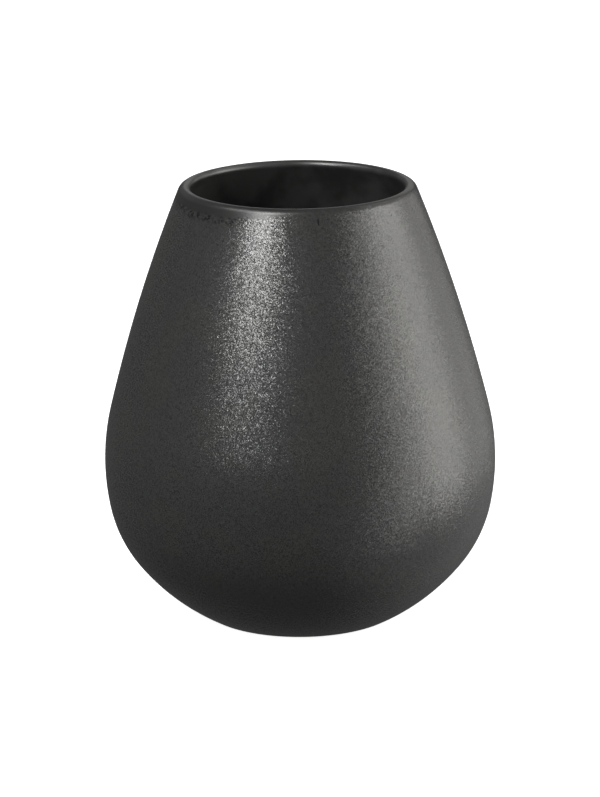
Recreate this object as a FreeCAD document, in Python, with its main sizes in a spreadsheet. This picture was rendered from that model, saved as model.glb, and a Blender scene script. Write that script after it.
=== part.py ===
"""Empty drop-shaped candle jar in stoneware, glazed inside and out, in millimetres.

The jar stands on the XY plane with its axis on Z. It is one fired clay body with four coats of
glaze fused to it: the outside coat, the dark band over the lip, the liner and the coat in the
recess under the base. The foot ring is bare clay.

Every sub-part is a half section turned round Z. Each sketch holds the finished, glazed surface
that its sub-part belongs to as construction lines. The sub-part's own edges run along that surface
or one glaze thickness below it, so neighbouring sub-parts meet face to face.
"""
import FreeCAD, Part

import math
import os

import Sketcher
from FreeCAD import Vector

# alias, size in mm (degrees for the slope), meaning
DIMENSIONS = (
    ("overall_height", 180.0, "table to the crest of the lip"),
    ("belly_radius", 80.5, "axis to the widest point"),
    ("belly_height", 64.6, "table to the widest point"),
    ("crest_radius", 45.5, "axis to the crest of the lip"),
    ("foot_radius", 39.2, "axis to the outer edge of the flat foot"),
    ("foot_edge_round", 4.0, "rounding where the foot turns into the underside"),
    ("underside_slope", 29.0, "angle at which the underside leaves the table"),
    ("underside_round", 90.0, "section radius of the underside"),
    ("hip_round", 53.5, "section radius between underside and belly"),
    ("belly_round", 95.0, "section radius of the belly"),
    ("wall_round", 675.0, "section radius of the leaning upper wall"),
    ("lip_round", 3.25, "rounding on the outside of the lip"),
    ("wall_thickness", 4.8, "glazed wall, face to face"),
    ("glaze_thickness", 0.5, "every coat of glaze"),
    ("rim_band_outside", 4.5, "crest down to the edge of the rim band, outside"),
    ("rim_band_inside", 4.0, "crest down to the edge of the rim band, inside"),
    ("floor_height", 7.3, "table to the glazed floor"),
    ("floor_round", 24.0, "rounding between floor and wall"),
    ("recess_depth", 2.5, "table to the glazed ceiling of the recess in the base"),
    ("recess_round", 4.0, "rounding of the recess into the foot ring"),
    ("recess_radius", 34.0, "axis to the inner edge of the foot ring"),
    ("recess_glaze_height", 0.8, "table to the lower edge of the recess glaze"),
)
SHEET = "Dimensions"

# Directions of the section plane, in degrees.
DOWN = -90.0
UP = 90.0
HALF_TURN = 180.0
FULL_TURN = 360.0

# The outside of the section, foot to crest: the size of each arc, and roughly the direction in
# degrees of the surface's normal where it starts. The sketch settles the exact directions.
OUTSIDE = (
    ("foot_edge", "foot_edge_round", DOWN),
    ("underside", "underside_round", -61.0),
    ("hip", "hip_round", -38.0),
    ("belly", "belly_round", -11.0),
    ("wall", "wall_round", 14.0),
    ("lip", "lip_round", 22.0),
)
# The inside of the section, lip to floor, and the outside arc whose centre each one shares.
INSIDE = (
    ("inside_wall", "wall"),
    ("inside_belly", "belly"),
    ("inside_hip", "hip"),
    ("inside_underside", "underside"),
)

START, END, CENTRE = 1, 2, 3
X_AXIS, Z_AXIS = -1, -2
ORIGIN = (-1, START)


def make_sheet(doc):
    """The driving dimensions as a spreadsheet: name, size and meaning in each row."""
    sheet = doc.addObject("Spreadsheet::Sheet", SHEET)
    for row, (alias, size, meaning) in enumerate(DIMENSIONS, start=1):
        sheet.set(f"A{row}", alias)
        sheet.set(f"B{row}", str(size))
        sheet.setAlias(f"B{row}", alias)
        sheet.set(f"C{row}", meaning)
    doc.recompute()
    return sheet


def bound(expression):
    """An expression on the sheet: words become references to its cells."""
    words = [f"{SHEET}.{w}" if w[0].isalpha() else w for w in expression.split()]
    return " ".join(words)


def direction(degrees):
    """Unit vector of the section plane."""
    angle = math.radians(degrees)
    return Vector(math.cos(angle), math.sin(angle), 0.0)


class Section:
    """The half section of one sub-part: a body with one sketch in the XZ plane."""

    def __init__(self, doc, sheet, label):
        self.doc = doc
        self.sheet = sheet
        self.body = doc.addObject("PartDesign::Body", label)
        self.body.Label = label
        self.sketch = self.body.newObject("Sketcher::SketchObject", label + "_section")
        plane = next(f for f in self.body.Origin.OriginFeatures if f.Role == "XZ_Plane")
        self.sketch.AttachmentSupport = [(plane, "")]
        self.sketch.MapMode = "FlatFace"
        self.runs = {}

    def number(self, alias):
        """The present size in a cell of the sheet."""
        return float(self.sheet.get(alias))

    def line(self, start, end, construction=False):
        """Adds a straight edge."""
        return self.sketch.addGeometry(Part.LineSegment(start, end), construction)

    def arc(self, centre, radius, first, last, construction=False):
        """Adds an arc that runs anticlockwise from the first direction to the last, in degrees."""
        circle = Part.Circle(centre, Vector(0, 0, 1), radius)
        shape = Part.ArcOfCircle(circle, math.radians(first), math.radians(last))
        return self.sketch.addGeometry(shape, construction)

    def tie(self, kind, *where):
        """Adds a constraint that has no size."""
        return self.sketch.addConstraint(Sketcher.Constraint(kind, *where))

    def drive(self, kind, where, expression):
        """Adds a constraint that starts at the drawn size and follows the sheet."""
        item = self.sketch.Geometry[where[0]]
        if kind == "Radius":
            drawn = item.Radius
        elif kind == "Angle":
            drawn = item.LastParameter - item.FirstParameter
        else:
            point = self.sketch.getPoint(*where)
            drawn = point.x if kind == "DistanceX" else point.y
        ends = where if kind in ("Radius", "Angle") else (*ORIGIN, *where)
        index = self.sketch.addConstraint(Sketcher.Constraint(kind, *ends, drawn))
        name = f"{kind}_{index}"
        self.sketch.renameConstraint(index, name)
        self.sketch.setExpression(f".Constraints.{name}", bound(expression))

    def settle(self):
        """Solves the sketch, so that its geometry can be read back."""
        self.doc.recompute()

    def keep(self, name, item, entry, leave, side):
        """Remembers a run of the finished surface and the side the clay is on. Side is +1 if the
        clay lies towards an arc's centre, or above a line, and -1 if it lies the other way."""
        self.runs[name] = (item, entry, leave, side)

    def join_run(self, before, after):
        """Makes one run of the finished surface pass into the next without a corner."""
        first, _, leave, _ = self.runs[before]
        second, entry, _, _ = self.runs[after]
        self.tie("Tangent", first, leave, second, entry)


def draw_outside(section):
    """The outside of the finished surface, from the foot to the crest, as construction arcs."""
    point = Vector(section.number("foot_radius"), 0, 0)
    normals = [start for _, _, start in OUTSIDE] + [UP]
    for (name, size, first), last in zip(OUTSIDE, normals[1:]):
        radius = section.number(size)
        centre = point - direction(first) * radius
        item = section.arc(centre, radius, first, last, construction=True)
        section.keep(name, item, START, END, side=1)
        point = centre + direction(last) * radius
    names = [name for name, _, _ in OUTSIDE]
    for before, after in zip(names, names[1:]):
        section.join_run(before, after)
    for name, size, _ in OUTSIDE:
        section.drive("Radius", (section.runs[name][0],), size)

    foot_edge, belly, lip = (section.runs[n][0] for n in ("foot_edge", "belly", "lip"))
    section.tie("PointOnObject", foot_edge, START, X_AXIS)
    section.tie("Vertical", foot_edge, START, foot_edge, CENTRE)
    section.drive("DistanceX", (foot_edge, START), "foot_radius")
    section.drive("Angle", (foot_edge,), "underside_slope")
    widest = Vector(section.number("belly_radius"), section.number("belly_height"), 0)
    mark = section.sketch.addGeometry(Part.Point(widest), True)
    section.tie("PointOnObject", mark, START, belly)
    section.tie("Horizontal", mark, START, belly, CENTRE)
    section.drive("DistanceX", (mark, START), "belly_radius")
    section.drive("DistanceY", (mark, START), "belly_height")
    section.tie("Vertical", lip, END, lip, CENTRE)
    section.drive("DistanceX", (lip, END), "crest_radius")
    section.drive("DistanceY", (lip, END), "overall_height")
    section.settle()


def draw_inside(section):
    """The inside of the finished surface, from the crest to the floor, as construction lines."""
    thickness = section.number("wall_thickness")
    lip = section.sketch.Geometry[section.runs["lip"][0]]
    wall = section.sketch.Geometry[section.runs["wall"][0]]
    lean = math.degrees(wall.LastParameter)
    crest = section.sketch.getPoint(section.runs["lip"][0], END)
    # Both roundings start at the crest. This size of the inner one gives the wall its thickness.
    rise = math.sin(wall.LastParameter)
    inner_round = (thickness - lip.Radius * (1 - rise)) / (1 + rise)
    centre = crest - Vector(0, inner_round, 0)
    item = section.arc(centre, inner_round, UP, HALF_TURN + lean, construction=True)
    section.keep("inner_lip", item, START, END, side=1)
    section.join_run("lip", "inner_lip")

    before = "inner_lip"
    for name, twin in INSIDE:
        outer_id = section.runs[twin][0]
        outer = section.sketch.Geometry[outer_id]
        angles = (math.degrees(outer.FirstParameter), math.degrees(outer.LastParameter))
        item = section.arc(outer.Center, outer.Radius - thickness, *angles, construction=True)
        section.keep(name, item, END, START, side=-1)
        section.tie("Coincident", item, CENTRE, outer_id, CENTRE)
        section.join_run(before, name)
        before = name
    section.drive("Radius", (section.runs["inside_wall"][0],), "wall_round - wall_thickness")

    floor_round = section.number("floor_round")
    floor_height = section.number("floor_height")
    slope = DOWN + section.number("underside_slope")
    foot = section.number("foot_radius")
    centre = Vector(foot, floor_height + floor_round, 0)
    item = section.arc(centre, floor_round, DOWN, slope, construction=True)
    section.keep("floor_edge", item, END, START, side=-1)
    section.join_run("inside_underside", "floor_edge")
    section.drive("Radius", (item,), "floor_round")
    item = section.line(Vector(foot, floor_height, 0), Vector(0, floor_height, 0), True)
    section.keep("floor", item, START, END, side=-1)
    section.join_run("floor_edge", "floor")
    section.tie("Horizontal", item)
    section.tie("PointOnObject", item, END, Z_AXIS)
    section.drive("DistanceY", (item, END), "floor_height")
    section.settle()


def draw_recess(section):
    """The recess in the base, from the axis to the foot ring, as construction lines."""
    depth = section.number("recess_depth")
    radius = section.number("recess_round")
    edge = section.number("recess_radius")
    drop = math.asin((radius - depth) / radius)
    centre = Vector(edge - radius * math.cos(drop), depth - radius, 0)
    ceiling = section.line(Vector(0, depth, 0), Vector(centre.x, depth, 0), True)
    section.keep("ceiling", ceiling, START, END, side=1)
    cove = section.arc(centre, radius, math.degrees(drop), UP, construction=True)
    section.keep("cove", cove, END, START, side=-1)
    section.join_run("ceiling", "cove")
    section.tie("Horizontal", ceiling)
    section.tie("PointOnObject", ceiling, START, Z_AXIS)
    section.drive("DistanceY", (ceiling, START), "recess_depth")
    section.drive("Radius", (cove,), "recess_round")
    section.tie("PointOnObject", cove, START, X_AXIS)
    section.drive("DistanceX", (cove, START), "recess_radius")
    section.settle()


def trace(section, names, size, buried, over=None):
    """Draws real edges along the named runs, on the finished surface or, if buried, one glaze
    thickness below it. Size is the radius of the first run. The edges are first drawn as long as
    the ones in over, or as long as the runs, and are returned in order."""
    depth = section.number("glaze_thickness") if buried else 0.0
    runs = [section.runs[name] for name in names]
    edges = []
    for pattern, (_, _, _, side) in zip(over or [run[0] for run in runs], runs):
        shape = section.sketch.Geometry[pattern]
        if isinstance(shape, Part.LineSegment):
            shift = Vector(0, side * depth, 0)
            edges.append(section.line(shape.StartPoint + shift, shape.EndPoint + shift))
        else:
            angles = (math.degrees(shape.FirstParameter), math.degrees(shape.LastParameter))
            edges.append(section.arc(shape.Center, shape.Radius - side * depth, *angles))
    for number in range(len(edges) - 1):
        leave = runs[number][2]
        entry = runs[number + 1][1]
        section.tie("Tangent", edges[number], leave, edges[number + 1], entry)

    arcs = []
    for edge, (run, _, _, side) in zip(edges, runs):
        if isinstance(section.sketch.Geometry[edge], Part.LineSegment):
            section.tie("Horizontal", edge)
        else:
            section.tie("Coincident", edge, CENTRE, run, CENTRE)
            arcs.append((edge, side))
    edge, side = arcs[0]
    sign = "-" if side > 0 else "+"
    section.drive("Radius", (edge,), f"{size} {sign} glaze_thickness" if buried else size)
    return edges


def cap(section, surface, buried):
    """Closes a coat of glaze with an edge square to the surface, from a point of the finished
    surface to the clay below it. Each point is given as an edge and which end of it."""
    item = section.line(section.sketch.getPoint(*surface), section.sketch.getPoint(*buried))
    section.tie("Perpendicular", item, START, *surface)
    section.tie("Coincident", item, END, *buried)


def close_on_axis(section, upper, lower):
    """Joins two edges that end on the axis with an edge along it."""
    item = section.line(section.sketch.getPoint(*upper), section.sketch.getPoint(*lower))
    section.tie("Coincident", item, START, *upper)
    section.tie("Coincident", item, END, *lower)
    section.tie("PointOnObject", *upper, Z_AXIS)
    section.tie("PointOnObject", *lower, Z_AXIS)


def turn(section):
    """Turns the finished section round Z into the sub-part's solid."""
    section.settle()
    revolution = section.body.newObject("PartDesign::Revolution", section.body.Name + "_turned")
    revolution.Profile = section.sketch
    revolution.ReferenceAxis = (section.sketch, ["V_Axis"])
    revolution.Angle = FULL_TURN
    section.body.Tip = revolution
    section.sketch.Visibility = False
    section.doc.recompute()
    return section.body


def make_stoneware_body(doc, sheet):
    """The fired clay: wall, floor and bare foot ring in one piece."""
    section = Section(doc, sheet, "stoneware_body")
    draw_outside(section)
    draw_inside(section)
    draw_recess(section)

    foot_edge = section.runs["foot_edge"][0]
    section.sketch.toggleConstruction(foot_edge)
    shell_names = ["underside", "hip", "belly", "wall", "lip", "inner_lip"]
    shell_names += [name for name, _ in INSIDE] + ["floor_edge", "floor"]
    shell = trace(section, shell_names, "underside_round", buried=True)
    cap(section, (foot_edge, END), (shell[0], START))

    ceiling, cove = trace(section, ["ceiling", "cove"], "recess_round", buried=True)
    section.tie("PointOnObject", cove, START, X_AXIS)
    inner_edge = section.sketch.getPoint(cove, START)
    ring = section.line(inner_edge, section.sketch.getPoint(foot_edge, START))
    section.tie("Coincident", ring, START, cove, START)
    section.tie("Coincident", ring, END, foot_edge, START)
    close_on_axis(section, (shell[-1], END), (ceiling, START))
    return turn(section)


def make_outer_glaze(doc, sheet):
    """The granular metallic coat, from just above the foot up to the rim band."""
    section = Section(doc, sheet, "outer_glaze")
    draw_outside(section)
    names = ["underside", "hip", "belly", "wall"]
    face = trace(section, names, "underside_round", buried=False)
    foot_edge = section.runs["foot_edge"][0]
    section.tie("Horizontal", face[0], START, foot_edge, END)
    section.drive("DistanceY", (face[-1], END), "overall_height - rim_band_outside")
    section.settle()
    back = trace(section, names, "underside_round", buried=True, over=face)
    cap(section, (face[0], START), (back[0], START))
    cap(section, (face[-1], END), (back[-1], END))
    return turn(section)


def make_rim_glaze(doc, sheet):
    """The smooth dark band over the lip, where liner and outside coat run together."""
    section = Section(doc, sheet, "rim_glaze")
    draw_outside(section)
    draw_inside(section)
    names = ["wall", "lip", "inner_lip", "inside_wall"]
    face = trace(section, names, "wall_round", buried=False)
    section.drive("DistanceY", (face[0], START), "overall_height - rim_band_outside")
    section.drive("DistanceY", (face[-1], START), "overall_height - rim_band_inside")
    section.settle()
    back = trace(section, names, "wall_round", buried=True, over=face)
    cap(section, (face[0], START), (back[0], START))
    cap(section, (face[-1], START), (back[-1], START))
    return turn(section)


def make_inner_glaze(doc, sheet):
    """The liner, which makes the jar tight: inside wall and floor."""
    section = Section(doc, sheet, "inner_glaze")
    draw_outside(section)
    draw_inside(section)
    names = [name for name, _ in INSIDE] + ["floor_edge", "floor"]
    size = "wall_round - wall_thickness"
    face = trace(section, names, size, buried=False)
    section.drive("DistanceY", (face[0], END), "overall_height - rim_band_inside")
    section.settle()
    back = trace(section, names, size, buried=True, over=face)
    cap(section, (face[0], END), (back[0], END))
    close_on_axis(section, (face[-1], END), (back[-1], END))
    return turn(section)


def make_base_glaze(doc, sheet):
    """The coat in the recess of the base, wiped back from the foot ring."""
    section = Section(doc, sheet, "base_glaze")
    draw_recess(section)
    names = ["ceiling", "cove"]
    face = trace(section, names, "recess_round", buried=False)
    section.drive("DistanceY", (face[1], START), "recess_glaze_height")
    section.settle()
    back = trace(section, names, "recess_round", buried=True, over=face)
    cap(section, (face[1], START), (back[1], START))
    close_on_axis(section, (back[0], START), (face[0], START))
    return turn(section)


def check(doc, bodies):
    """Stops with a message if anything failed to build."""
    for item in doc.Objects:
        bad = [s for s in item.State if s in ("Invalid", "Error")]
        if bad:
            raise RuntimeError(f"{item.Label} is {bad}")
        if item.TypeId == "Sketcher::SketchObject" and not item.FullyConstrained:
            raise RuntimeError(f"{item.Label} isn't fully constrained")
    for body in bodies:
        if body.Shape.isNull() or not body.Shape.isValid() or len(body.Shape.Solids) != 1:
            raise RuntimeError(f"{body.Label} is not one valid solid")


def main():
    doc = FreeCAD.newDocument("candle_jar")
    sheet = make_sheet(doc)
    makers = (
        make_stoneware_body,
        make_outer_glaze,
        make_rim_glaze,
        make_inner_glaze,
        make_base_glaze,
    )
    bodies = [make(doc, sheet) for make in makers]
    doc.recompute()
    check(doc, bodies)
    os.makedirs("parts", exist_ok=True)
    for body in bodies:
        box = body.Shape.optimalBoundingBox()
        print(f"{body.Label}: volume {body.Shape.Volume:.1f} mm3")
        print(f"    radius {box.XMax:.2f}, z {box.ZMin:.2f} to {box.ZMax:.2f}")
        body.Shape.exportStep(f"parts/{body.Label}.step")


main()
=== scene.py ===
"""Look of the empty drop-shaped stoneware candle jar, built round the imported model.

Everything is in metres in the model's own frame: the jar stands on z = 0 with its axis on Z. The
section of the glazed surface is the chain of tangent arcs that the model has. Each CAD node is
replaced by a finer piece turned from that section.
"""

import math
import random

import bmesh
import bpy
import numpy as np
from mathutils import Matrix, Vector, noise


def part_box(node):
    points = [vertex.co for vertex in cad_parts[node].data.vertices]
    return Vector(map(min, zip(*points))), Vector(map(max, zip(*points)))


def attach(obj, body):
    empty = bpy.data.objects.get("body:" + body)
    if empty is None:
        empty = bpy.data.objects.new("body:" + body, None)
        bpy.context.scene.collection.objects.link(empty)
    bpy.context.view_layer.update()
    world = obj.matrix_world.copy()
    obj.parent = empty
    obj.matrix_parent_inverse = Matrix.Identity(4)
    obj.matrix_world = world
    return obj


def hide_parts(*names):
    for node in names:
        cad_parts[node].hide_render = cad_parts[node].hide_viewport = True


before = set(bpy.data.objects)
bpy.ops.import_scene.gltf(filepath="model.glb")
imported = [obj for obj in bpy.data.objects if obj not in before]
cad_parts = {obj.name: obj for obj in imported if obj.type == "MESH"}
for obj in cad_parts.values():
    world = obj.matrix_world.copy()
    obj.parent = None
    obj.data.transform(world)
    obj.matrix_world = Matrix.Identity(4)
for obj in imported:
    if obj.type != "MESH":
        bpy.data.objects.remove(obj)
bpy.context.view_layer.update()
MM = 0.001

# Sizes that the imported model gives.
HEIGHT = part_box("rim_glaze")[1].z
BELLY_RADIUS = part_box("outer_glaze")[1].x
RECESS_GLAZE_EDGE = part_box("base_glaze")[0].z

# Sizes of the section that the model was drawn with.
BELLY_HEIGHT = 64.6 * MM
CREST_RADIUS = 45.5 * MM
FOOT_RADIUS = 39.2 * MM
FOOT_EDGE_ROUND = 4.0 * MM
UNDERSIDE_SLOPE = 29.0
UNDERSIDE_ROUND = 90.0 * MM
HIP_ROUND = 53.5 * MM
BELLY_ROUND = 95.0 * MM
WALL_ROUND = 675.0 * MM
LIP_ROUND = 3.25 * MM
WALL = 4.8 * MM
GLAZE = 0.5 * MM
RIM_BAND_OUTSIDE = 4.5 * MM
RIM_BAND_INSIDE = 4.0 * MM
FLOOR_HEIGHT = 7.3 * MM
FLOOR_ROUND = 24.0 * MM
RECESS_DEPTH = 2.5 * MM
RECESS_ROUND = 4.0 * MM
RECESS_RADIUS = 34.0 * MM

# How finely the pieces are turned.
AROUND = 320
STEP = 2.0 * MM
FINE_STEP = 0.35 * MM
FINE_ROUND = 30.0 * MM
AXIS_GAP = 1e-7
RING_STEPS = 12
SPOKE_PACE = 3.0 * MM
SHARP_ANGLE = 40.0

# How far the faces of the glaze stand from the true turned form: broad sways and small ripples.
SWAY = 0.08 * MM
SWAY_SIZE = 55.0 * MM
RIPPLE = 0.012 * MM
RIPPLE_SIZE = 7.0 * MM

# Beads of iron on the rim. The long one has an azimuth, a depth below the crest, half a width and
# half a height. A group of the others has the middle and spread of its azimuths, its least and
# greatest depth in mm, and how many beads there are.
SPECK_RISE = 0.09 * MM
SPECK_SIZE = (0.10, 0.26)
SPECK_STRETCH = (0.8, 1.6)
SPECK_LUMPS = 0.35
SPECK_SEED = 11
LONG_SPECK = (9.2, 4.5 * MM, 0.45 * MM, 1.15 * MM)
SPECK_GROUPS = [
    (-50.0, 11.0, 4.8, 7.0, 16),
    (-24.0, 8.0, 3.4, 5.2, 5),
    (10.0, 9.0, 3.4, 5.2, 8),
    (150.0, 60.0, 3.0, 6.0, 18),
]


def rgb(red, green, blue):
    """A colour that is opaque, in linear light."""
    return (red, green, blue, 1.0)


# Colours of the glaze and the clay.
IRON = rgb(0.078, 0.078, 0.078)
OLIVE = rgb(0.083, 0.0825, 0.079)
# A dark glaze tone, used also for the painted shade on the rim band.
DARK_GLAZE_AND_SHADE = rgb(0.024, 0.024, 0.024)
PITCH = rgb(0.012, 0.012, 0.012)
LINER = rgb(0.080, 0.080, 0.079)
BROWN_CLAY = rgb(0.20, 0.15, 0.11)
PALE_CLAY = rgb(0.28, 0.23, 0.18)
CLAY_GRIT = rgb(0.07, 0.05, 0.04)

# Grain of the glaze: how large its crystals, flakes and pits are, and how far crystals tilt.
GRAIN = 0.30 * MM
FLAKES = 0.42 * MM
PITS = 2.6 * MM
GRAIN_TILT = 0.235
FLAKE_TILT = 0.12

# Roughness of the glazes. The granular glaze grows a little smoother over CALM_DEPTH below the rim.
DULL_CRYSTAL = 0.36
BRIGHT_CRYSTAL = 0.25
CALM_DEPTH = 30.0 * MM
SMOOTH_ROUGHNESS = 0.33

# The smooth band over the rim. Its ragged border outside hangs lower on the low side, a direction:
# from HANG_FROM along it to HANG_TO, the hang grows from the least to the most.
LOW_SIDE = (-0.94, -0.34, 0.0)
HANG_FROM = 10.0 * MM
HANG_TO = 46.0 * MM
LEAST_HANG = 1.2 * MM
MOST_HANG = 4.8 * MM
RAGS = 1.3 * MM
RAG_HEIGHT = 0.8 * MM
BORDER_BLUR = 0.5 * MM
CREST_BLUR = 1.2 * MM

# The camera. Angles are in degrees.
AIM = Vector((0.00015, 0.0, 0.0897))
CAMERA_DISTANCE = 1.5
CAMERA_HEIGHT_ANGLE = 15.85
CAMERA_ROLL = 0.55
LENS = 164.8

# Softboxes: azimuth, elevation, width and height in degrees as seen from the jar, and brightness.
SOFTBOXES = {
    "key": (-36.0, 43.0, 15.5, 38.0, 14.6),
    "key_top": (-66.0, 57.0, 36.0, 20.0, 3.6),
    "right_near": (60.0, 5.0, 20.0, 66.0, 1.5),
    "right_wall": (90.0, 9.0, 38.0, 54.0, 3.6),
    "right_top": (118.0, 50.0, 48.0, 22.0, 1.0),
    "right_back": (128.0, 10.0, 36.0, 50.0, 0.9),
    "left_back": (-152.0, 24.0, 50.0, 20.0, 0.12),
    "back": (174.0, 21.0, 28.0, 16.0, 0.6),
}
SOFTBOX_DISTANCE = 1.6
WARM = (1.0, 0.99, 0.965)

# The dim room, the light that the table throws back on the left and on the right, and the floor.
ROOM_GLOW = 0.09
TABLE_GLOW = 0.11
TABLE_GLOW_RIGHT = 0.55
FLOOR_GLOW = 0.9
FLOOR_HALF = 6.0


# ---------------------------------------------------------------- section

def across(degrees):
    """Unit vector in the section plane, as (r, z)."""
    angle = math.radians(degrees)
    return np.array((math.cos(angle), math.sin(angle)))


def heading(vector):
    """Direction of a vector of the section plane, in degrees."""
    return math.degrees(math.atan2(vector[1], vector[0]))


def meet(first, reach, second, other_reach, lower):
    """The point at the two given distances from two centres: the lower one, or else the higher."""
    span = second - first
    gap = np.linalg.norm(span)
    along = (gap * gap + reach * reach - other_reach * other_reach) / (2 * gap)
    aside = math.sqrt(reach * reach - along * along)
    middle = first + span * along / gap
    normal = np.array((-span[1], span[0])) / gap
    found = [middle + normal * aside, middle - normal * aside]
    return min(found, key=lambda p: p[1] if lower else -p[1])


class Arc:
    """One rounded stretch of a section, run from one direction of its radius to another."""

    def __init__(self, centre, radius, first, last):
        self.centre = np.array(centre, float)
        self.radius = radius
        self.first = first
        self.last = last

    def point(self, degrees):
        return self.centre + self.radius * across(degrees)

    def points(self):
        """Evenly spaced points, close together on a small rounding."""
        pace = FINE_STEP if self.radius < FINE_ROUND else STEP
        length = self.radius * math.radians(abs(self.last - self.first))
        count = max(2, math.ceil(length / pace) + 1)
        return [self.point(a) for a in np.linspace(self.first, self.last, count)]

    def cut(self, height):
        """The direction of the arc's point at a height, on the side that the arc is on."""
        rise = math.degrees(math.asin((height - self.centre[1]) / self.radius))
        middle = across((self.first + self.last) / 2)[0]
        return rise if middle > 0 else 180.0 - rise

    def shifted(self, depth):
        """The same arc with its radius changed by a depth."""
        return Arc(self.centre, self.radius + depth, self.first, self.last)


def outside_arcs():
    """The outside of the glazed surface, foot to crest."""
    foot = np.array((FOOT_RADIUS, FOOT_EDGE_ROUND))
    slope = UNDERSIDE_SLOPE - 90.0
    underside = foot + (FOOT_EDGE_ROUND - UNDERSIDE_ROUND) * across(slope)
    belly = np.array((BELLY_RADIUS - BELLY_ROUND, BELLY_HEIGHT))
    hip = meet(underside, UNDERSIDE_ROUND - HIP_ROUND, belly, BELLY_ROUND - HIP_ROUND, True)
    lip = np.array((CREST_RADIUS, HEIGHT - LIP_ROUND))
    wall = meet(belly, WALL_ROUND - BELLY_ROUND, lip, WALL_ROUND - LIP_ROUND, False)
    into_hip = heading(hip - underside)
    into_belly = heading(hip - belly)
    into_wall = heading(belly - wall)
    into_lip = heading(lip - wall)
    return {
        "foot_edge": Arc(foot, FOOT_EDGE_ROUND, -90.0, slope),
        "underside": Arc(underside, UNDERSIDE_ROUND, slope, into_hip),
        "hip": Arc(hip, HIP_ROUND, into_hip, into_belly),
        "belly": Arc(belly, BELLY_ROUND, into_belly, into_wall),
        "wall": Arc(wall, WALL_ROUND, into_wall, into_lip),
        "lip": Arc(lip, LIP_ROUND, into_lip, 90.0),
    }


def inside_arcs(outside):
    """The inside of the glazed surface, crest to floor. Its arcs share the outside's centres."""
    wall = outside["wall"]
    reach = wall.radius - WALL
    over, up = np.array((CREST_RADIUS, HEIGHT)) - wall.centre
    lip_round = (over * over + up * up - reach * reach) / (2 * (up + reach))
    lip = np.array((CREST_RADIUS, HEIGHT - lip_round))
    arcs = {"inner_lip": Arc(lip, lip_round, 90.0, 180.0 + heading(lip - wall.centre))}
    last = heading(lip - wall.centre)
    for name in ("wall", "belly", "hip", "underside"):
        twin = outside[name]
        arcs[name] = Arc(twin.centre, twin.radius - WALL, last, twin.first)
        last = twin.first
    underside = arcs["underside"]
    rise = FLOOR_HEIGHT + FLOOR_ROUND
    reach = underside.radius - FLOOR_ROUND
    drop = rise - underside.centre[1]
    floor_centre = underside.centre + np.array((math.sqrt(reach * reach - drop * drop), drop))
    underside.last = heading(floor_centre - underside.centre)
    arcs["floor_edge"] = Arc(floor_centre, FLOOR_ROUND, underside.last, -90.0)
    return arcs


def recess_arc():
    """The cove at the edge of the recess in the base, from its ceiling down to the foot ring."""
    drop = math.asin((RECESS_ROUND - RECESS_DEPTH) / RECESS_ROUND)
    centre = (RECESS_RADIUS - RECESS_ROUND * math.cos(drop), RECESS_DEPTH - RECESS_ROUND)
    return Arc(centre, RECESS_ROUND, 90.0, math.degrees(drop))


def chained(arcs):
    """The points of several arcs end to end, without the doubles where they join."""
    points = []
    for arc in arcs:
        fresh = arc.points()
        points += fresh[1:] if points else fresh
    return points


OUTSIDE = outside_arcs()
INSIDE = inside_arcs(OUTSIDE)
COVE = recess_arc()


# ---------------------------------------------------------------- turned pieces

def unevenness(place):
    """How far a hand-finished glazed surface stands from the true turned form at a place."""
    sway = noise.noise(place / SWAY_SIZE) * SWAY
    ripple = noise.noise(place / RIPPLE_SIZE) * RIPPLE
    return sway + ripple


def section_normals(points):
    """Unit normals of a section line, on its right-hand side as it is run."""
    run = np.gradient(np.array(points), axis=0)
    run /= np.linalg.norm(run, axis=1)[:, None]
    return np.column_stack((run[:, 1], -run[:, 0]))


def cells(below, above):
    """The faces between two neighbouring rings of vertices. A ring of one vertex is a pole."""
    if len(below) == len(above) == 1:
        return []
    faces = []
    for k in range(AROUND):
        after = (k + 1) % AROUND
        if len(below) == 1:
            faces.append((below[0], above[after], above[k]))
        elif len(above) == 1:
            faces.append((below[k], below[after], above[0]))
        else:
            faces.append((below[k], below[after], above[after], above[k]))
    return faces


def turned(name, face, back):
    """A closed piece turned round Z from a section: its face, which is a little uneven, and the
    back that closes it. A section point on the axis becomes a pole."""
    section = list(face) + list(back)
    normals = section_normals(face) if face else []
    verts = []
    rings = []
    for number, (r, z) in enumerate(section):
        count = 1 if r < AXIS_GAP else AROUND
        rings.append(range(len(verts), len(verts) + count))
        for k in range(count):
            angle = 2 * math.pi * k / AROUND
            outward = Vector((math.cos(angle), math.sin(angle), 0.0))
            place = outward * r + Vector((0.0, 0.0, z))
            if number < len(face):
                nr, nz = normals[number]
                place += (outward * nr + Vector((0.0, 0.0, nz))) * unevenness(place)
            verts.append(place)
    faces = []
    for below, above in zip(rings, rings[1:] + rings[:1]):
        faces += cells(below, above)
    return piece_of(name, verts, faces)


def piece_of(name, verts, faces):
    """A smooth-shaded object with outward faces, from vertices and faces."""
    mesh = bpy.data.meshes.new(name)
    mesh.from_pydata(verts, [], faces)
    bm = bmesh.new()
    bm.from_mesh(mesh)
    bmesh.ops.recalc_face_normals(bm, faces=bm.faces)
    bm.to_mesh(mesh)
    bm.free()
    mesh.shade_smooth()
    mesh.set_sharp_from_angle(angle=math.radians(SHARP_ANGLE))
    piece = bpy.data.objects.new(name, mesh)
    bpy.context.scene.collection.objects.link(piece)
    return piece


def disc(reach, height):
    """The points of a flat round disc, from its middle out to just inside its edge."""
    count = math.ceil(reach / SPOKE_PACE)
    return [np.array((reach * k / count, height)) for k in range(count)]


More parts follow.
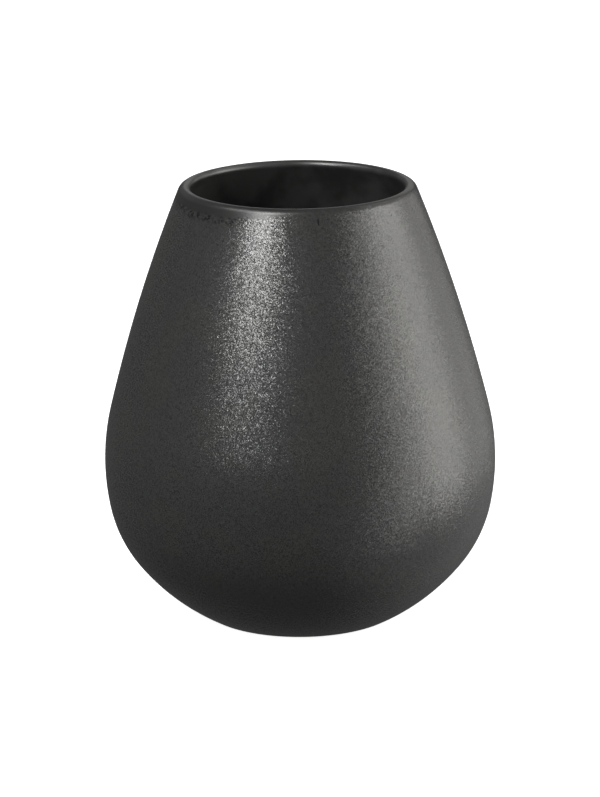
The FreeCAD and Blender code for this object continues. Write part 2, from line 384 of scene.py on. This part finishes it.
def make_clay():
    """The fired clay. It is under glaze everywhere but at the foot ring, which is bare."""
    foot = OUTSIDE["foot_edge"]
    shell = [OUTSIDE[n].shifted(-GLAZE) for n in ("underside", "hip", "belly", "wall", "lip")]
    shell += [INSIDE["inner_lip"].shifted(-GLAZE)]
    shell += [INSIDE[n].shifted(GLAZE) for n in ("wall", "belly", "hip", "underside", "floor_edge")]
    cove = COVE.shifted(GLAZE)
    cove.last = cove.cut(0.0)
    ring = np.linspace(cove.point(cove.last), foot.point(foot.first), RING_STEPS)
    section = disc(cove.centre[0], RECESS_DEPTH + GLAZE)
    section += cove.points()
    section += list(ring[1:])
    section += foot.points()[1:]
    section += chained(shell)
    section += disc(INSIDE["floor_edge"].centre[0], FLOOR_HEIGHT - GLAZE)[::-1]
    return turned("clay_body", [], section)


def make_outer_coat():
    """The granular coat on the outside, from just above the foot up to the rim band."""
    arcs = [OUTSIDE[n].shifted(0.0) for n in ("underside", "hip", "belly", "wall")]
    arcs[-1].last = arcs[-1].cut(HEIGHT - RIM_BAND_OUTSIDE)
    back = chained([arc.shifted(-GLAZE) for arc in arcs])
    return turned("outer_coat", chained(arcs), back[::-1])


def make_rim_band():
    """The smooth band over the lip."""
    outer = OUTSIDE["wall"].shifted(0.0)
    outer.first = outer.cut(HEIGHT - RIM_BAND_OUTSIDE)
    inner = INSIDE["wall"].shifted(0.0)
    inner.last = inner.cut(HEIGHT - RIM_BAND_INSIDE)
    lips = [OUTSIDE["lip"], INSIDE["inner_lip"]]
    back = [outer.shifted(-GLAZE)] + [lip.shifted(-GLAZE) for lip in lips]
    back = chained(back + [inner.shifted(GLAZE)])
    return turned("rim_band", chained([outer, *lips, inner]), back[::-1])


def on_outside(azimuth, depth):
    """A point of the uneven outside, a depth below the crest, and the surface's normal there. The
    azimuth is measured as the studio's is."""
    height = HEIGHT - depth
    wall, lip = OUTSIDE["wall"], OUTSIDE["lip"]
    arc = wall if height < lip.point(lip.first)[1] else lip
    slope = arc.cut(height)
    r, z = arc.point(slope)
    nr, nz = across(slope)
    turn = math.radians(azimuth)
    outward = Vector((math.sin(turn), -math.cos(turn), 0.0))
    place = outward * r + Vector((0.0, 0.0, z))
    normal = outward * nr + Vector((0.0, 0.0, nz))
    return place + normal * unevenness(place), normal


def make_specks():
    """Small beads of iron that burst through the glaze along the rim's ragged border. They are
    thickest on the rim's low side, and one of them is a longer run."""
    chance = random.Random(SPECK_SEED)
    specks = [LONG_SPECK]
    for middle, spread, low, high, count in SPECK_GROUPS:
        for _ in range(count):
            size = chance.uniform(*SPECK_SIZE) * MM
            azimuth = chance.gauss(middle, spread)
            depth = chance.uniform(low, high) * MM
            specks.append((azimuth, depth, size, size * chance.uniform(*SPECK_STRETCH)))
    bm = bmesh.new()
    for azimuth, depth, half_width, half_height in specks:
        place, normal = on_outside(azimuth, depth)
        side = normal.cross(Vector((0.0, 0.0, 1.0))).normalized()
        up = side.cross(normal)
        ball = bmesh.ops.create_icosphere(bm, subdivisions=2, radius=1.0)
        for vert in ball["verts"]:
            rough = 1.0 + SPECK_LUMPS * noise.noise(vert.co * 1.7 + place * 4000.0)
            x, y, z = vert.co * rough
            vert.co = place + side * x * half_width + up * y * half_height + normal * z * SPECK_RISE
    mesh = bpy.data.meshes.new("glaze_specks")
    bm.to_mesh(mesh)
    bm.free()
    mesh.shade_smooth()
    piece = bpy.data.objects.new("glaze_specks", mesh)
    bpy.context.scene.collection.objects.link(piece)
    return piece


def make_liner():
    """The glaze inside, down the wall and over the floor."""
    arcs = [INSIDE[n].shifted(0.0) for n in ("wall", "belly", "hip", "underside", "floor_edge")]
    arcs[0].first = arcs[0].cut(HEIGHT - RIM_BAND_INSIDE)
    reach = arcs[-1].centre[0]
    face = chained(arcs) + disc(reach, FLOOR_HEIGHT)[::-1]
    back = chained([arc.shifted(GLAZE) for arc in arcs]) + disc(reach, FLOOR_HEIGHT - GLAZE)[::-1]
    return turned("liner", face, back[::-1])


def make_base_coat():
    """The glaze in the recess under the base, wiped back from the foot ring."""
    cove = COVE.shifted(0.0)
    cove.last = cove.cut(RECESS_GLAZE_EDGE)
    reach = cove.centre[0]
    face = disc(reach, RECESS_DEPTH) + cove.points()
    back = disc(reach, RECESS_DEPTH + GLAZE) + cove.shifted(GLAZE).points()
    return turned("base_coat", face, back[::-1])


# ---------------------------------------------------------------- materials

class Surface:
    """A procedural material: a Principled shader and the nodes that drive it."""

    def __init__(self, name, metallic, ior):
        self.material = bpy.data.materials.new(name)
        self.material.use_nodes = True
        self.tree = self.material.node_tree
        self.shader = self.tree.nodes["Principled BSDF"]
        self.shader.inputs["Metallic"].default_value = metallic
        self.shader.inputs["IOR"].default_value = ior
        self.place = self.tree.nodes.new("ShaderNodeTexCoord").outputs["Object"]

    def feed(self, socket, value):
        """Links an output to a socket, or sets the socket's own value."""
        if isinstance(value, bpy.types.NodeSocket):
            self.tree.links.new(value, socket)
        else:
            socket.default_value = value

    def clouds(self, size, detail=2.0, shift=0.0):
        """Soft noise from 0 to 1 whose features are about that size."""
        node = self.tree.nodes.new("ShaderNodeTexNoise")
        node.noise_dimensions = "4D"
        node.inputs["W"].default_value = shift
        node.inputs["Scale"].default_value = 1.0 / size
        node.inputs["Detail"].default_value = detail
        self.feed(node.inputs["Vector"], self.place)
        return node.outputs["Fac"]

    def crystals(self, size):
        """Random cells of about that size: a random colour for each, and a point's distance from
        the cell's middle."""
        node = self.tree.nodes.new("ShaderNodeTexVoronoi")
        node.inputs["Scale"].default_value = 1.0 / size
        self.feed(node.inputs["Vector"], self.place)
        return node.outputs["Color"], node.outputs["Distance"]

    def calculate(self, operation, first, second=0.0):
        """One step of arithmetic."""
        node = self.tree.nodes.new("ShaderNodeMath")
        node.operation = operation
        self.feed(node.inputs[0], first)
        self.feed(node.inputs[1], second)
        return node.outputs[0]

    def spread(self, value, low, high, to_low, to_high):
        """Maps low..high smoothly to to_low..to_high."""
        return smooth_step(self.tree, value, low, high, to_low, to_high)

    def between(self, share, first, second):
        """A number between two numbers."""
        node = self.tree.nodes.new("ShaderNodeMix")
        for socket, value in zip((0, 2, 3), (share, first, second)):
            self.feed(node.inputs[socket], value)
        return node.outputs[0]

    def blend(self, share, first, second):
        """A colour between two colours."""
        node = self.tree.nodes.new("ShaderNodeMix")
        node.data_type = "RGBA"
        self.feed(node.inputs[0], share)
        self.feed(node.inputs[6], first)
        self.feed(node.inputs[7], second)
        return node.outputs[2]

    def dot(self, first, second):
        """The dot product of two vectors."""
        node = self.tree.nodes.new("ShaderNodeVectorMath")
        node.operation = "DOT_PRODUCT"
        self.feed(node.inputs[0], first)
        self.feed(node.inputs[1], second)
        return node.outputs["Value"]

    def height_of_place(self):
        """How high above the table the point is, in metres."""
        node = self.tree.nodes.new("ShaderNodeSeparateXYZ")
        self.feed(node.inputs[0], self.place)
        return node.outputs["Z"]

    def channel(self, colour, number):
        """One channel of a colour."""
        node = self.tree.nodes.new("ShaderNodeSeparateColor")
        self.feed(node.inputs[0], colour)
        return node.outputs[number]

    def reach_of_place(self):
        """How far the point is from the jar's axis, in metres."""
        level = self.vector("MULTIPLY", self.place, (1.0, 1.0, 0.0))
        return self.calculate("SQRT", self.dot(level, level))

    def tilted(self, colour, tilt, normal=None):
        """The normal tilted by a random colour: each crystal faces its own way."""
        if normal is None:
            normal = self.tree.nodes.new("ShaderNodeNewGeometry").outputs["Normal"]
        centred = self.vector("SUBTRACT", colour, (0.5, 0.5, 0.5))
        scaled = self.vector("SCALE", centred, tilt)
        return self.vector("NORMALIZE", self.vector("ADD", normal, scaled))

    def vector(self, operation, first, second=None):
        """One step of vector arithmetic."""
        node = self.tree.nodes.new("ShaderNodeVectorMath")
        node.operation = operation
        self.feed(node.inputs[0], first)
        if operation == "SCALE":
            self.feed(node.inputs["Scale"], second)
        elif second is not None:
            self.feed(node.inputs[1], second)
        return node.outputs["Vector"]

    def bumped(self, height, depth):
        """A normal for relief that is a pattern times a depth."""
        node = self.tree.nodes.new("ShaderNodeBump")
        node.inputs["Distance"].default_value = depth
        self.feed(node.inputs["Height"], height)
        return node.outputs["Normal"]

    def finish(self, colour, roughness, normal):
        """Puts the patterns on the shader and gives the material."""
        self.feed(self.shader.inputs["Base Color"], colour)
        self.feed(self.shader.inputs["Roughness"], roughness)
        self.feed(self.shader.inputs["Normal"], normal)
        return self.material


def smooth_step(tree, value, low, high, to_low, to_high):
    """Adds a node that maps low..high smoothly to to_low..to_high. Each may be a number or an
    output."""
    node = tree.nodes.new("ShaderNodeMapRange")
    node.interpolation_type = "SMOOTHSTEP"
    for name, given in (("Value", value), ("From Min", low), ("From Max", high),
                        ("To Min", to_low), ("To Max", to_high)):
        if isinstance(given, bpy.types.NodeSocket):
            tree.links.new(given, node.inputs[name])
        else:
            node.inputs[name].default_value = given
    return node.outputs["Result"]


def granular_glaze():
    """Matt metallic glaze full of fine crystals. It goes over into a smooth glaze on the rim,
    darkened there partly by the thin glaze's own tone and partly as painted shade, and into the
    liner's colour inside it."""
    s = Surface("granular_iron_glaze", metallic=0.5, ior=1.6)
    grainy = s.calculate("SUBTRACT", 1.0, rim_share(s))
    patches = s.clouds(24.0 * MM, detail=3.0)
    crystal, _ = s.crystals(GRAIN)
    flake, _ = s.crystals(FLAKES)
    bright = s.channel(crystal, 2)
    pit_colour, pit_distance = s.crystals(PITS)
    pits = s.calculate("MULTIPLY", s.spread(pit_distance, 0.08, 0.14, 1.0, 0.0),
                       s.spread(s.channel(pit_colour, 0), 0.35, 0.6, 0.0, 1.0))
    dark_crystals = s.calculate("MULTIPLY", s.spread(bright, 0.0, 0.6, 0.75, 0.0), grainy)
    colour = s.blend(s.spread(patches, 0.42, 0.62, 0.0, 1.0), IRON, OLIVE)
    colour = s.blend(dark_crystals, colour, DARK_GLAZE_AND_SHADE)
    colour = s.blend(s.calculate("MULTIPLY", pits, grainy), colour, PITCH)
    # Painted shade: the smooth rim band is darkened towards the dark tone, partly for its thinner
    # glaze and partly to stand for the dark overhead that its lip reflects.
    colour = s.blend(s.calculate("MULTIPLY", rim_share(s), 0.7), colour, DARK_GLAZE_AND_SHADE)
    colour = s.blend(smudges(s), colour, PITCH)
    colour = s.blend(inside_share(s), colour, clouded(s, LINER))
    calm = s.spread(s.height_of_place(), HEIGHT - CALM_DEPTH, HEIGHT, 1.0, 0.8)
    lively = s.calculate("MULTIPLY", grainy, calm)
    normal = s.tilted(crystal, s.calculate("MULTIPLY", lively, GRAIN_TILT))
    normal = s.tilted(flake, s.calculate("MULTIPLY", lively, FLAKE_TILT), normal)
    roughness = s.spread(bright, 0.0, 1.0, DULL_CRYSTAL, BRIGHT_CRYSTAL)
    roughness = s.calculate("MULTIPLY", roughness, calm)
    roughness = s.between(grainy, SMOOTH_ROUGHNESS, roughness)
    roughness = s.calculate("ADD", roughness, s.calculate("MULTIPLY", pits, 0.3))
    return s.finish(colour, roughness, normal)


def rim_share(s):
    """1 on the crest and inside it, where the glaze lies thin and smooth, and 0 where it is
    granular. The border outside is ragged, and it hangs lower on one side."""
    hang = s.spread(s.dot(s.place, LOW_SIDE), HANG_FROM, HANG_TO, LEAST_HANG, MOST_HANG)
    rags = s.clouds(RAGS, detail=4.0, shift=2.0)
    ragged = s.spread(rags, 0.3, 0.7, -RAG_HEIGHT, RAG_HEIGHT)
    level = s.calculate("ADD", s.calculate("ADD", s.height_of_place(), hang), ragged)
    outside = s.spread(level, HEIGHT - BORDER_BLUR, HEIGHT + BORDER_BLUR, 0.0, 1.0)
    return s.calculate("MAXIMUM", outside, inside_share(s))


def inside_share(s):
    """1 inside the crest and 0 outside it."""
    return s.spread(s.reach_of_place(), CREST_RADIUS - CREST_BLUR, CREST_RADIUS, 1.0, 0.0)


def smudges(s):
    """Dark smudges where the granular glaze thins out on the low side of the rim."""
    side = s.spread(s.dot(s.place, LOW_SIDE), 0.016, 0.044, 0.0, 1.0)
    height = s.height_of_place()
    lower_edge = s.spread(height, HEIGHT - 8.6 * MM, HEIGHT - 5.8 * MM, 0.0, 0.85)
    upper_edge = s.spread(height, HEIGHT - 5.2 * MM, HEIGHT - 3.4 * MM, 1.0, 0.0)
    band = s.calculate("MULTIPLY", lower_edge, upper_edge)
    spots = s.spread(s.clouds(RAGS, detail=4.0, shift=6.0), 0.48, 0.58, 0.0, 1.0)
    return s.calculate("MULTIPLY", s.calculate("MULTIPLY", side, band), spots)


def clouded(s, tone):
    """A tone with soft, darker clouds in it."""
    patches = s.clouds(13.0 * MM, detail=4.0, shift=8.0)
    return s.blend(s.spread(patches, 0.38, 0.68, 0.0, 0.7), tone, DARK_GLAZE_AND_SHADE)


def smooth_glaze(name, roughness, tone, ior=1.6):
    """Dark satin glaze with little relief, for the inside, the base and the beads of iron."""
    s = Surface(name, metallic=0.5, ior=ior)
    waves = s.clouds(1.5 * MM, detail=2.0, shift=3.0)
    return s.finish(clouded(s, tone), roughness, s.bumped(waves, 0.02 * MM))


def bare_clay():
    """Unglazed stoneware: dry, grey-brown and gritty."""
    s = Surface("bare_stoneware", metallic=0.0, ior=1.5)
    grit = s.clouds(0.8 * MM, detail=4.0)
    patches = s.clouds(12.0 * MM, detail=3.0, shift=4.0)
    colour = s.blend(s.spread(patches, 0.35, 0.65, 0.0, 1.0), BROWN_CLAY, PALE_CLAY)
    colour = s.blend(s.spread(grit, 0.6, 0.72, 0.0, 0.8), colour, CLAY_GRIT)
    return s.finish(colour, 0.85, s.bumped(grit, 0.12 * MM))


# ---------------------------------------------------------------- studio

def towards(azimuth, elevation):
    """Unit vector from the jar to a place in the studio. Azimuth 0 is the camera's side, and 90 is
    the camera's right; elevation is above the horizon."""
    a, e = math.radians(azimuth), math.radians(elevation)
    return Vector((math.sin(a) * math.cos(e), -math.cos(a) * math.cos(e), math.sin(e)))


def make_camera():
    """A long lens, a little above the jar, and the scene's own camera."""
    data = bpy.data.cameras.new("camera")
    data.lens = LENS
    data.sensor_width = 36.0
    data.clip_start = 0.05
    data.clip_end = 30.0
    camera = bpy.data.objects.new("camera", data)
    bpy.context.scene.collection.objects.link(camera)
    back = towards(0.0, CAMERA_HEIGHT_ANGLE)
    turn = back.to_track_quat("Z", "Y").to_matrix().to_4x4()
    roll = Matrix.Rotation(-math.radians(CAMERA_ROLL), 4, "Z")
    camera.matrix_world = Matrix.Translation(AIM + back * CAMERA_DISTANCE) @ turn @ roll
    bpy.context.scene.camera = camera


def make_floor():
    """A plain pale floor, wide enough to fill the view. It neither mirrors nor lights the jar: the
    world's table glow stands for that."""
    corners = [(FLOOR_HALF * x, FLOOR_HALF * y, 0.0) for x, y in ((-1, -1), (1, -1), (1, 1), (-1, 1))]
    mesh = bpy.data.meshes.new("floor")
    mesh.from_pydata(corners, [], [(0, 1, 2, 3)])
    floor = bpy.data.objects.new("floor", mesh)
    bpy.context.scene.collection.objects.link(floor)
    material = bpy.data.materials.new("floor_paper")
    material.use_nodes = True
    shader = material.node_tree.nodes["Principled BSDF"]
    shader.inputs["Base Color"].default_value = rgb(0.8, 0.8, 0.8)
    shader.inputs["Roughness"].default_value = 1.0
    shader.inputs["Emission Color"].default_value = rgb(1.0, 1.0, 1.0)
    shader.inputs["Emission Strength"].default_value = FLOOR_GLOW
    mesh.materials.append(material)
    floor.visible_glossy = False
    floor.visible_diffuse = False


def make_softboxes():
    """The softboxes, all turned to the jar. Those on the right are a little warm."""
    for name, (azimuth, elevation, wide, high, glow) in SOFTBOXES.items():
        data = bpy.data.lights.new(name, "AREA")
        data.shape = "RECTANGLE"
        data.size = 2 * SOFTBOX_DISTANCE * math.tan(math.radians(wide / 2))
        data.size_y = 2 * SOFTBOX_DISTANCE * math.tan(math.radians(high / 2))
        data.energy = glow * math.pi * data.size * data.size_y
        if azimuth > 0.0:
            data.color = WARM
        lamp = bpy.data.objects.new(name, data)
        bpy.context.scene.collection.objects.link(lamp)
        back = towards(azimuth, elevation)
        lamp.matrix_world = (Matrix.Translation(AIM + back * SOFTBOX_DISTANCE)
                             @ back.to_track_quat("Z", "Y").to_matrix().to_4x4())
        lamp.visible_camera = False


def make_world():
    """A dim room, with a little light thrown back from the table, most of it on the right. It is
    white where the camera sees it directly."""
    world = bpy.data.worlds.new("studio")
    world.use_nodes = True
    tree = world.node_tree
    background = tree.nodes["Background"]
    background.inputs["Color"].default_value = rgb(1.0, 1.0, 1.0)
    place = tree.nodes.new("ShaderNodeTexCoord").outputs["Generated"]
    split = tree.nodes.new("ShaderNodeSeparateXYZ")
    tree.links.new(place, split.inputs[0])
    table = smooth_step(tree, split.outputs["X"], 0.1, 0.9, TABLE_GLOW, TABLE_GLOW_RIGHT)
    room = smooth_step(tree, split.outputs["Z"], -0.35, 0.0, table, ROOM_GLOW)
    seen = tree.nodes.new("ShaderNodeLightPath").outputs["Is Camera Ray"]
    tree.links.new(smooth_step(tree, seen, 0.0, 1.0, room, 1.0), background.inputs["Strength"])
    bpy.context.scene.world = world


# ---------------------------------------------------------------- assembly

def stand_in(piece, node, material):
    """Puts a piece in the place of a CAD node, with its material."""
    piece.data.materials.append(material)
    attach(piece, "root")
    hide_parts(node)


make_camera()
make_floor()
make_softboxes()
make_world()
bpy.context.scene.view_settings.view_transform = "Standard"

iron = granular_glaze()
stand_in(make_clay(), "stoneware_body", bare_clay())
stand_in(make_outer_coat(), "outer_glaze", iron)
stand_in(make_rim_band(), "rim_glaze", iron)
specks = make_specks()
specks.data.materials.append(smooth_glaze("iron_speck", 0.6, PITCH, ior=1.25))
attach(specks, "root")
stand_in(make_liner(), "inner_glaze", smooth_glaze("liner_glaze", 0.40, LINER))
stand_in(make_base_coat(), "base_glaze", smooth_glaze("base_glaze", 0.36, IRON))
